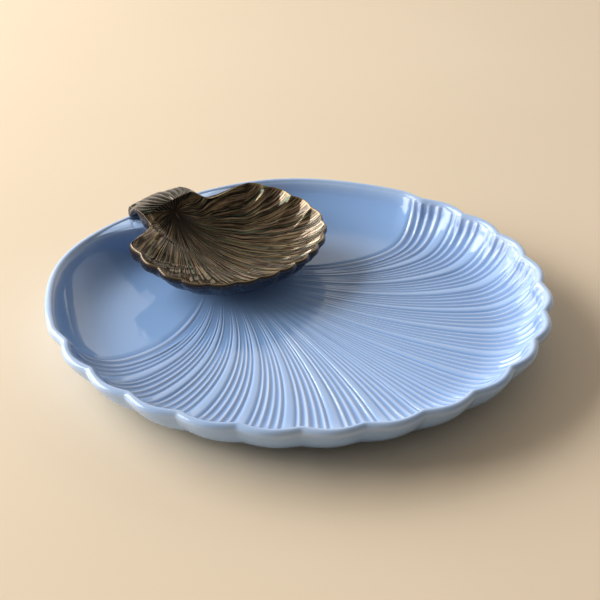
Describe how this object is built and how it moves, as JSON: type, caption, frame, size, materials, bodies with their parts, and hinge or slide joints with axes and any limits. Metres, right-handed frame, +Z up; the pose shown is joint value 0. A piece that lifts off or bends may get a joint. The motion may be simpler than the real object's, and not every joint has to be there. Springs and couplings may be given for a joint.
{
  "type": "chip and dip platter",
  "caption": "Round ribbed shell-shaped serving platter with a loose shell dip bowl that hooks over its rim.",
  "frame": {"origin": "middle of the whole on the table it stands on", "axes": "+Z up from the table, +Y towards the hinge of the shell, where the dip bowl hooks over the rim"},
  "size_m": [0.3786, 0.3876, 0.0517],
  "materials": {
    "blue_glaze": "gloss",
    "lustre_glaze": "metallic lustre"
  },
  "bodies": {
    "platter": {"platter": "blue_glaze"},
    "dip_bowl": {"dip_bowl": "lustre_glaze"}
  },
  "joints": [
    {"name": "bowl_lift", "type": "slide", "parent": "platter", "child": "dip_bowl", "axis": [0, 0, 1], "range_m": [0, 0.12]}
  ]
}
